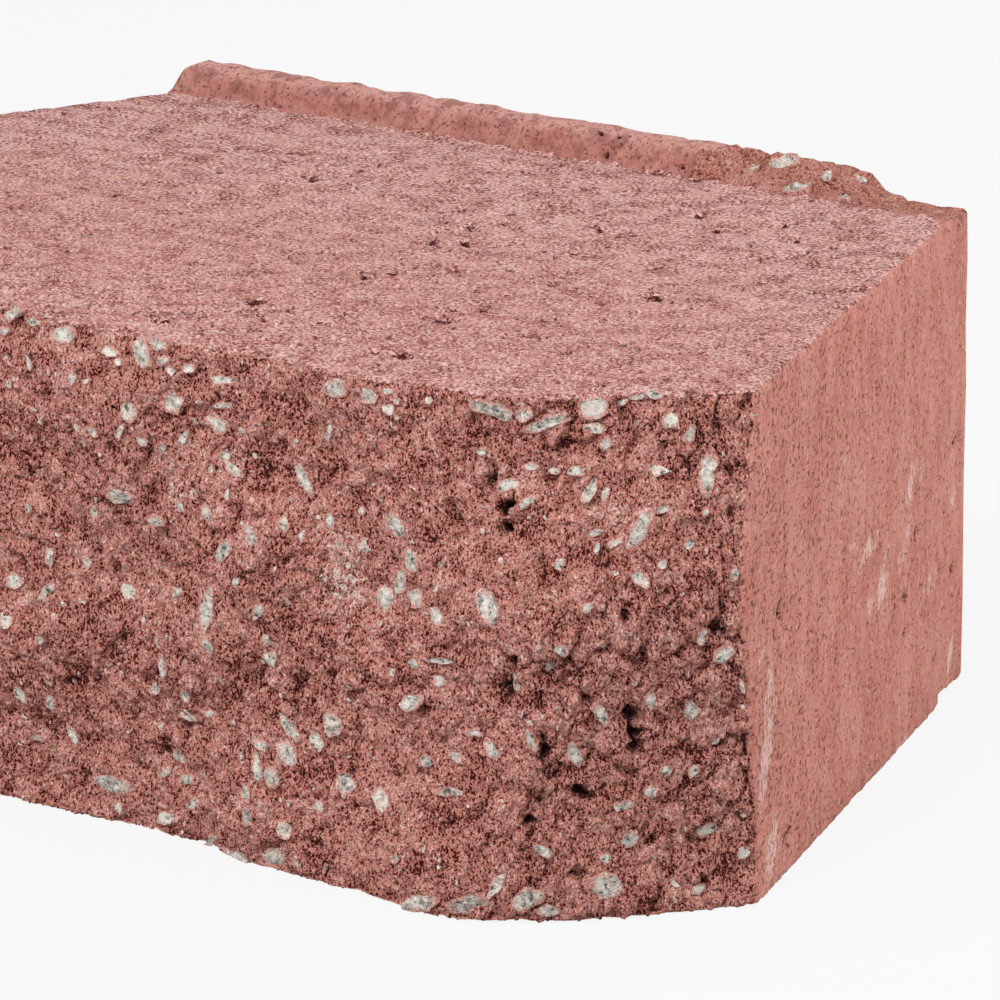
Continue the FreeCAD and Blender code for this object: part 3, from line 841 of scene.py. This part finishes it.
class Looks:
    """A material's node tree, with short ways to add to it."""

    def __init__(self, name):
        self.material = bpy.data.materials.new(name)
        self.material.use_nodes = True
        self.tree = self.material.node_tree
        self.shader = self.tree.nodes["Principled BSDF"]
        self.place = self.add("ShaderNodeTexCoord").outputs["Object"]

    def add(self, kind, values=None, **settings):
        """A node with its settings, and its inputs by name or number."""
        node = self.tree.nodes.new(kind)
        for name, value in settings.items():
            setattr(node, name, value)
        for key, value in (values or {}).items():
            self.put(node.inputs[key], value)
        return node

    def put(self, socket, value):
        """A link or a plain value for a socket."""
        if isinstance(value, bpy.types.NodeSocket):
            self.tree.links.new(value, socket)
        else:
            socket.default_value = value

    def kept(self, name):
        """A value that the mesh keeps at its points."""
        return self.add("ShaderNodeAttribute", attribute_name=name).outputs["Fac"]

    def axis(self, vector, name):
        """One axis of a vector."""
        return self.add("ShaderNodeSeparateXYZ", {"Vector": vector}).outputs[name]

    def noise(self, size, detail=2, rough=0.5, stretch=(1, 1, 1), seed=0):
        """Cloudy noise from 0 to 1 with features of that many millimetres, drawn out along some axes."""
        scale = [1 / (size * MM * part) for part in stretch]
        shift = (seed * 3.1, seed * 5.7, seed * 7.3)
        spot = self.add("ShaderNodeMapping", {"Vector": self.place, "Scale": scale, "Location": shift})
        values = {"Vector": spot.outputs[0], "Scale": 1.0, "Detail": detail, "Roughness": rough}
        return self.add("ShaderNodeTexNoise", values).outputs["Fac"]

    def worked(self, kind, *values, clamp=False):
        """One step of arithmetic on numbers or sockets."""
        node = self.add("ShaderNodeMath", operation=kind, use_clamp=clamp)
        for socket, value in zip(node.inputs, values):
            self.put(socket, value)
        return node.outputs[0]

    def times(self, value, share):
        """A share of a value."""
        return self.worked("MULTIPLY", value, share)

    def plus(self, value, other, share=1, clamp=False):
        """A value with a share of another one added."""
        return self.worked("ADD", value, other if share == 1 else self.times(other, share), clamp=clamp)

    def ease(self, value, low, high):
        """Goes smoothly from 0 to 1 as the value goes from low to high; low may be the larger."""
        node = self.add("ShaderNodeMapRange", {"Value": value, "From Min": low, "From Max": high})
        node.interpolation_type = "SMOOTHSTEP"
        return node.outputs["Result"]

    def mix(self, share, first, second):
        """A mix of two colours."""
        node = self.add("ShaderNodeMix", {0: share, 6: first, 7: second}, data_type="RGBA")
        return node.outputs[2]

    def over(self, colour, share, strength, tint):
        """A colour with a display colour laid over it, as strongly as that, where the share is high."""
        return self.mix(share if strength == 1 else self.times(share, strength), colour, paint(tint))

    def blend(self, share, first, second):
        """A mix of two numbers."""
        return self.add("ShaderNodeMix", {0: share, 2: first, 3: second}, data_type="FLOAT").outputs[0]

    def steps(self, value, *stops):
        """A colour ramp through places and display colours."""
        node = self.add("ShaderNodeValToRGB", {"Fac": value})
        elements = node.color_ramp.elements
        while len(elements) < len(stops):
            elements.new(1.0)
        for element, (place, colour) in zip(elements, stops):
            element.position = place
            element.color = paint(colour)
        return node.outputs["Color"]

    def finish(self, colour, rough, gloss, height, distance):
        """The material, with its colour, roughness and gloss, and bump of that many millimetres."""
        bump = self.add("ShaderNodeBump", {"Height": height, "Distance": distance * MM, "Strength": 1.0})
        values = {"Base Color": colour, "Roughness": rough, "Specular IOR Level": gloss,
                  "Normal": bump.outputs["Normal"]}
        for name, value in values.items():
            self.put(self.shader.inputs[name], value)
        return self.material


def paint(colour):
    """A display colour as the renderer's linear one."""
    return tuple(c / 12.92 if c <= 0.04045 else ((c + 0.055) / 1.055) ** 2.4 for c in colour) + (1.0,)


def paste(looks, hollow):
    """Colour and height of the red paste: salmon lumps of sand, with painted shade in its pits, more of it
    where it lies low.
    """
    lumps = looks.noise(0.56, 2, 0.6, (1, 1, 1.6), seed=2)
    grit = looks.times(looks.plus(looks.noise(0.33, 0, 0.5, (1, 1, 1.4), seed=21), -0.5), 0.48)
    cloud = looks.plus(looks.noise(6, 2, 0.6, seed=4), -0.5)
    shade = looks.plus(looks.plus(lumps, cloud, 0.5), grit)
    shade = looks.plus(shade, hollow, 0.04)
    # The two darkest stops are painted shade in the pits
    colour = looks.steps(shade, (0.31, SHADE_DARK), (0.37, SHADE_DEEP), (0.42, RED_MID), (0.60, RED_PALE),
                         (0.73, SAND))
    return colour, looks.plus(lumps, grit)


def split_looks():
    """The split face, with painted shade in its hollows and pale specks where dust lies."""
    looks = Looks("concrete_split")
    hollow = looks.kept("cavity")
    colour, lumps = paste(looks, hollow)
    # Painted shade where the face lies hollow, near black painted shade in the deepest hollows
    low = looks.ease(looks.plus(hollow, lumps, 2.2), 0.3, -1.1)
    colour = looks.over(colour, low, 0.45, SHADE_DARK)
    deep = looks.ease(looks.plus(hollow, lumps), -1.1, -2.8)
    colour = looks.over(colour, deep, 0.8, SHADE_BLACK)
    torn = looks.kept("broken")
    colour = looks.over(colour, torn, 0.4, (0.72, 0.46, 0.39))
    # Painted shade in the small pits of the broken end
    break_pit_shade = looks.times(looks.ease(looks.noise(1.8, 3, 0.75, seed=24), 0.42, 0.34), torn)
    colour = looks.over(colour, break_pit_shade, 0.8, SHADE_DARK)
    speck = looks.noise(0.9, 2, 0.75, (1, 1, 1.6), seed=22)
    pale = looks.ease(looks.plus(speck, looks.kept("pale"), 0.45), 0.80, 0.92)
    colour = looks.over(colour, pale, 0.9, (0.93, 0.86, 0.82))
    return looks.finish(colour, 0.95, 0.2, lumps, 1.0)


def open_pores(looks):
    """How strongly the bearing face's open pores show, with ragged edges."""
    return looks.plus(looks.kept("dark"), looks.noise(1.1, 2, 0.7, seed=25), 1.6)


def top_looks():
    """The bearing face between its grains: dusty pink, finely pitted, with painted shade where it lies low
    and in its open pores.
    """
    looks = Looks("concrete_top")
    fine = looks.noise(0.75, 2, 0.6, seed=5)
    patch = looks.noise(8, 4, 0.75, seed=14)
    shade = looks.plus(fine, looks.plus(patch, -0.5), 0.6)
    colour = looks.steps(shade, (0.35, (0.42, 0.20, 0.18)), (0.42, (0.63, 0.40, 0.37)),
                         (0.50, (0.76, 0.56, 0.53)), (0.62, (0.90, 0.75, 0.72)))
    colour = looks.over(colour, looks.ease(patch, 0.56, 0.68), 0.4, (0.70, 0.42, 0.38))
    # Painted shade where the face lies low, and in the open pores
    colour = looks.over(colour, looks.ease(looks.kept("relief"), -0.3, -0.8), 0.8, SHADE_DARK)
    colour = looks.over(colour, looks.ease(open_pores(looks), 1.25, 1.45), 1, SHADE_DARK)
    return looks.finish(colour, 0.95, 0.2, fine, 0.8)


def dust_looks():
    """The grains of the bearing face, dusted pale, more even to the back where the face is seen flat."""
    looks = Looks("concrete_dust")
    fine = looks.noise(0.8, 2, 0.65, seed=8)
    patch = looks.noise(10, 3, 0.7, seed=14)
    shade = looks.plus(looks.plus(looks.times(looks.kept("tone"), 0.5), fine, 0.3), -0.4)
    behind = looks.ease(looks.axis(looks.place, "Y"), -90 * MM, 20 * MM)
    shade = looks.times(shade, looks.blend(behind, 1.15, 0.3))
    shade = looks.plus(looks.plus(shade, patch, 0.56), looks.kept("relief"), 0.12)
    colour = looks.steps(looks.plus(shade, 0.26), (0.28, (0.58, 0.36, 0.33)), (0.44, (0.73, 0.52, 0.49)),
                         (0.64, (0.81, 0.62, 0.59)), (0.82, (0.92, 0.79, 0.76)))
    ragged = open_pores(looks)
    bare = looks.plus(looks.ease(patch, 0.5, 0.64), looks.ease(ragged, 0.85, 1.05), clamp=True)
    colour = looks.over(colour, bare, 0.65, (0.73, 0.46, 0.41))
    # Painted shade in the pits and open pores between the grains
    pits = looks.ease(looks.noise(2.2, 3, 0.75, seed=23), 0.385, 0.355)
    pits = looks.worked("MAXIMUM", pits, looks.ease(ragged, 1.22, 1.4))
    colour = looks.over(colour, pits, 0.9, (0.33, 0.12, 0.10))
    return looks.finish(colour, 0.9, 0.25, fine, 0.3)


def lip_colour(looks):
    """The lip: paler on its crest, as painted light with some pale dust, mottled, and with painted shade
    along its foot.
    """
    normal = looks.add("ShaderNodeNewGeometry").outputs["Normal"]
    # Paler where the lip faces up: painted light, with some pale dust like the bearing face's
    crest = looks.ease(looks.axis(normal, "Z"), 0.35, 0.95)
    colour = looks.mix(crest, paint((0.69, 0.455, 0.415)), paint((0.78, 0.57, 0.53)))
    mottle = looks.ease(looks.noise(3.6, 2, 0.6, seed=19), 0.54, 0.32)
    colour = looks.over(colour, mottle, 0.6, (0.46, 0.26, 0.24))
    # Painted shade along the foot of the lip
    foot = looks.ease(looks.axis(looks.place, "Z"), (COURSE + 2.6) * MM, COURSE * MM)
    return looks.over(colour, foot, 0.4, (0.45, 0.24, 0.21))


def side_looks():
    """The moulded sides, back and lip: drawn smooth, with small pores in painted shade and pale rubbed
    streaks.
    """
    looks = Looks("concrete_moulded")
    lip = looks.kept("lip")
    drag = looks.noise(1.0, 3, 0.7, (1, 1.8, 1.8), seed=6)
    band = looks.noise(9, 4, 0.7, (1, 1.0, 2.4), seed=9)
    fine = looks.noise(0.7, 2, 0.7, (1, 1.8, 1.0), seed=15)
    colour = looks.mix(looks.ease(band, 0.35, 0.68), paint((0.745, 0.45, 0.395)), paint((0.80, 0.545, 0.49)))
    colour = looks.over(colour, looks.ease(drag, 0.45, 0.8), 1, (0.84, 0.61, 0.55))
    fleck = looks.ease(looks.noise(1.3, 3, 0.7, (1, 1.6, 1.2), seed=18), 0.54, 0.72)
    colour = looks.over(colour, fleck, 0.6, (0.87, 0.68, 0.62))
    colour = looks.mix(lip, colour, lip_colour(looks))
    grit = looks.ease(looks.plus(fine, lip, -0.04), 0.42, 0.34)
    colour = looks.over(colour, grit, 0.65, (0.52, 0.28, 0.25))
    # Painted shade in the small pores, which the bump also sinks
    gaps = looks.plus(looks.noise(0.95, 3, 0.75, (1, 1.9, 1.0), seed=7), band, 0.12)
    pores = looks.ease(looks.plus(gaps, looks.axis(looks.place, "Y"), 0.28), 0.475, 0.425)
    colour = looks.over(colour, pores, 0.8, (0.38, 0.17, 0.15))
    scuff = looks.times(looks.noise(0.9, 3, 0.75, (1, 1.6, 1.8), seed=16), 1.3)
    pale = looks.ease(looks.plus(scuff, looks.kept("pale"), 0.55), 0.92, 1.22)
    colour = looks.over(colour, pale, 0.8, (0.89, 0.76, 0.72))
    # Painted shade in the open pores and cracks of the dark marks
    open_pore = looks.ease(looks.plus(looks.kept("dark"), fine), 0.95, 1.15)
    colour = looks.over(colour, open_pore, 1, SHADE_DARK)
    return looks.finish(colour, 0.85, 0.3, looks.plus(looks.times(drag, 0.3), pores, -1), 0.35)


def granite_looks():
    """The chips: white and grey granite with black specks, their rims lost in the red paste."""
    looks = Looks("granite_chips")
    cloud = looks.noise(1.5, 3, 0.7, seed=11)
    grain = looks.noise(0.8, 2, 0.7, seed=12)
    shade = looks.plus(looks.times(looks.kept("tone"), 0.12), cloud, 0.88)
    colour = looks.steps(shade, (0.36, (0.50, 0.485, 0.465)), (0.45, (0.72, 0.70, 0.665)),
                         (0.58, (0.89, 0.865, 0.825)))
    specks = looks.ease(looks.plus(grain, cloud, 0.7), 0.72, 0.68)
    colour = looks.over(colour, specks, 0.85, (0.20, 0.21, 0.20))
    tint = looks.ease(looks.noise(2.2, 2, 0.6, seed=26), 0.52, 0.72)
    colour = looks.over(colour, tint, 0.45, (0.86, 0.70, 0.65))
    red, lumps = paste(looks, 0.0)
    reach = looks.plus(looks.times(looks.kept("rim"), 0.9), grain, 0.7)
    dusted = looks.ease(looks.plus(lumps, reach), 1.34, 1.58)
    colour = looks.mix(dusted, colour, red)
    return looks.finish(colour, 0.75, 0.3, looks.blend(dusted, grain, lumps), 0.7)


def look_from(obj, place, back):
    """Puts a lamp or a camera at a place in metres, with its back to that direction."""
    obj.location = place
    obj.rotation_mode = "QUATERNION"
    obj.rotation_quaternion = back.to_track_quat("Z", "Y")


def soft_lamp(name, azimuth, elevation, distance, size, power):
    """A square soft light that looks at the block from that side; degrees, metres and watts."""
    turn, rise = math.radians(azimuth), math.radians(elevation)
    way = Vector((math.sin(turn) * math.cos(rise), -math.cos(turn) * math.cos(rise), math.sin(rise)))
    light = bpy.data.lights.new(name, "AREA")
    light.size = size
    light.energy = power
    look_from(placed(name, light), way * distance + Vector((0, 0, LAMP_AIM)), way)


def show_white(tree, shader, output, share):
    """Shows that share of plain white, over the shader, to the camera and in reflections."""
    kinds = ("LightPath", "Math", "Math", "Emission", "MixShader")
    path, seen, partly, white, mix = (tree.nodes.new("ShaderNode" + kind) for kind in kinds)
    seen.operation = "MAXIMUM"
    partly.operation = "MULTIPLY"
    partly.inputs[1].default_value = share
    links = ((path.outputs["Is Camera Ray"], seen.inputs[0]), (path.outputs["Is Glossy Ray"], seen.inputs[1]),
             (seen.outputs[0], partly.inputs[0]), (partly.outputs[0], mix.inputs[0]),
             (shader.outputs[0], mix.inputs[1]), (white.outputs[0], mix.inputs[2]),
             (mix.outputs[0], tree.nodes[output].inputs["Surface"]))
    for start, end in links:
        tree.links.new(start, end)


def make_floor():
    """A pale floor that takes the block's shadow."""
    mesh = bpy.data.meshes.new("studio_floor")
    corners = [(x * FLOOR_HALF, y * FLOOR_HALF, 0) for x, y in ((-1, -1), (1, -1), (1, 1), (-1, 1))]
    mesh.from_pydata(corners, [], [(0, 1, 2, 3)])
    placed("studio_floor", mesh)
    material = bpy.data.materials.new("pale_floor")
    material.use_nodes = True
    shader = material.node_tree.nodes["Principled BSDF"]
    shader.inputs["Base Color"].default_value = FLOOR_GREY
    shader.inputs["Roughness"].default_value = 1.0
    shader.inputs["Specular IOR Level"].default_value = 0.0
    show_white(material.node_tree, shader, "Material Output", FLOOR_WHITE)
    mesh.materials.append(material)


def make_surroundings():
    """A white surrounding that gives a little light of its own."""
    world = bpy.data.worlds.new("surrounding")
    world.use_nodes = True
    bpy.context.scene.world = world
    tree = world.node_tree
    ambient = tree.nodes["Background"]
    ambient.inputs["Color"].default_value = (1, 1, 1, 1)
    ambient.inputs["Strength"].default_value = AMBIENT
    show_white(tree, ambient, "World Output", 1.0)


def make_camera():
    """The photograph's camera."""
    lens = bpy.data.cameras.new("photo_camera")
    lens.lens = LENS
    lens.sensor_width = SENSOR
    lens.clip_start = 0.1
    lens.clip_end = 20
    camera = placed("photo_camera", lens)
    back = camera_axes()[2]
    look_from(camera, (AIM + back * DISTANCE) * MM, Vector(back))
    bpy.context.scene.camera = camera
    bpy.context.scene.view_settings.view_transform = "Standard"


def face_values(mesh, name):
    """The mean over each triangle of a value that the mesh keeps at its points."""
    values = np.empty(len(mesh.vertices))
    mesh.attributes[name].data.foreach_get("value", values)
    return values[corner_points(mesh).reshape(-1, 3)].mean(1)


def face_slots(mesh):
    """Gives each face the looks of the part of the block it lies on."""
    split, top, broken = (face_values(mesh, name) for name in ("split", "top", "broken"))
    slots = np.where(np.maximum(split, broken) > 0.5, 0, np.where(top > 0.5, 1, 2))
    mesh.polygons.foreach_set("material_index", slots.astype(np.int32))


def block_map(mesh, depth_at):
    """Lays the block's faces out flat, each seen square on, with the split face unrolled."""
    places, _ = mesh_arrays(mesh)
    corners = corner_points(mesh)
    gaps = surface_gaps(places[corners].reshape(-1, 3, 3).mean(1), depth_at)
    names = ["right", "left", "back", "bed", "front", "top"]
    nearest = np.argmin([gaps[name] for name in names[:4]], axis=0)
    split, top, lip = (face_values(mesh, name) for name in ("split", "top", "lip"))
    nearest = np.where(split > 0.5, 4, np.where(np.maximum(top, lip) > 0.5, 5, nearest))
    xs, _, lengths = unrolled(depth_at)
    x, y, z = places[corners].T
    reach = BACK_HALF + TAPER * (BACK - FOREMOST)
    deep = y - FOREMOST
    flat = {"front": (np.interp(x, xs, lengths), z), "top": (x + reach, deep + np.maximum(z - COURSE, 0)),
            "right": (deep * math.hypot(1, TAPER), z), "left": (deep * math.hypot(1, TAPER), z),
            "back": (x + BACK_HALF, z), "bed": (x + reach, deep)}
    spots = np.zeros((len(corners), 2))
    for number, name in enumerate(names):
        scale, left, bottom = CHARTS[name]
        here = np.repeat(nearest == number, 3)
        spots[here] = np.column_stack(flat[name])[here] * scale + (left, bottom)
    flat_map(mesh, spots / MAP_SIDE)


def top_spots(tree, random):
    """Evenly scattered places on the bearing face."""
    spots, faces = [], []
    for y in np.arange(FOREMOST, LIP_FOOT - 1.6, TOP_SPACING):
        half = BACK_HALF + TAPER * (BACK - y)
        for x in np.arange(-half, half, TOP_SPACING):
            place = np.array((x, y, COURSE + 6)) + (*random.uniform(-0.5, 0.5, 2) * TOP_SPACING, 0)
            hit, normal, face, _ = tree.ray_cast(Vector(place * MM), Vector((0, 0, -1)))
            if hit and normal.z > 0.5 and -1.5 < hit.z / MM - COURSE < 0.6:
                spots.append(np.array(hit) / MM)
                faces.append(face)
    return np.array(spots), np.array(faces)


def make_block(tree, depth_at, stones):
    """The block: the solid's surface with its relief, its looks and its flat map."""
    mesh = even_mesh(NODE)
    mesh = thinned(mesh, shaped(mesh, tree, depth_at, stones))
    mesh.shade_smooth()
    mesh.materials.clear()
    for looks in (split_looks(), top_looks(), side_looks()):
        mesh.materials.append(looks)
    face_slots(mesh)
    block_map(mesh, depth_at)
    return placed("cast_block", mesh)


def make_face_grains(block, skin, depth_at, stones, random):
    """The grains of the split face, off its stones and with some bare patches."""
    cavity, pale = (face_values(block.data, name) for name in ("cavity", "pale"))
    pieces = []
    for name, low, high, spacing in FACE_GRAINS:
        spots, ways, faces = face_spots(skin, depth_at, low, high, spacing, random)
        laid = ~on_stones(spots, stones, 0.85) & (noise(spots, 2.6, SEED + 300) >= -0.5)
        kept = {"cavity": cavity[faces[laid]], "pale": pale[faces[laid]]}
        piece = grains(name, spots[laid], ways[laid], kept, FACE_GRAIN, 0.45, 1, random)
        piece.data.materials.append(block.data.materials[0])
        pieces.append(piece)
    return pieces


def make_top_grains(block, skin, random):
    """The grains of the bearing face, off its pits, and sunk deeper to the back."""
    relief, dark = (face_values(block.data, name) for name in ("relief", "dark"))
    looks = dust_looks()
    spots, faces = top_spots(skin, random)
    laid = (noise(spots, 2.4, SEED + 310) > -0.40) & (dark[faces] < 0.75) & (relief[faces] > -0.55)
    pieces = []
    for name, half in (("grains_top_left", spots[:, 0] < 0), ("grains_top_right", spots[:, 0] >= 0)):
        inside = laid & half
        ways = np.tile((0, 0, 1.0), (inside.sum(), 1))
        kept = {"relief": relief[faces[inside]], "dark": dark[faces[inside]]}
        sunk = 0.1 + 0.45 * ramp(spots[inside, 1], -50, 50)
        piece = grains(name, spots[inside], ways, kept, TOP_GRAIN, sunk, 0, random)
        piece.data.materials.append(looks)
        pieces.append(piece)
    return pieces


make_floor()
make_surroundings()
make_camera()
for lamp in LAMPS:
    soft_lamp(*lamp)

random = np.random.RandomState(SEED)
solid = tree_of(NODE.data)
depth_at = front_depth(solid)
stones = seen_stones(solid)
taken = [(stone[0], np.linalg.norm(stone[1])) for stone in stones]
stones += stray_stones(solid, *LARGE_STRAYS, taken, random)
small = stray_stones(solid, *SMALL_STRAYS, taken, random)
block = make_block(solid, depth_at, stones)
skin = tree_of(block.data)
chips = lay_stones("granite_chips", stones, 3, skin, random)
bits = lay_stones("granite_bits", small, 2, skin, random)
granite = granite_looks()
for piece in (chips, bits):
    piece.data.materials.append(granite)
pieces = [block, chips, bits]
pieces += make_face_grains(block, skin, depth_at, stones, random)
pieces += make_top_grains(block, skin, random)

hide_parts("block")
for piece in pieces:
    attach(piece, "root")
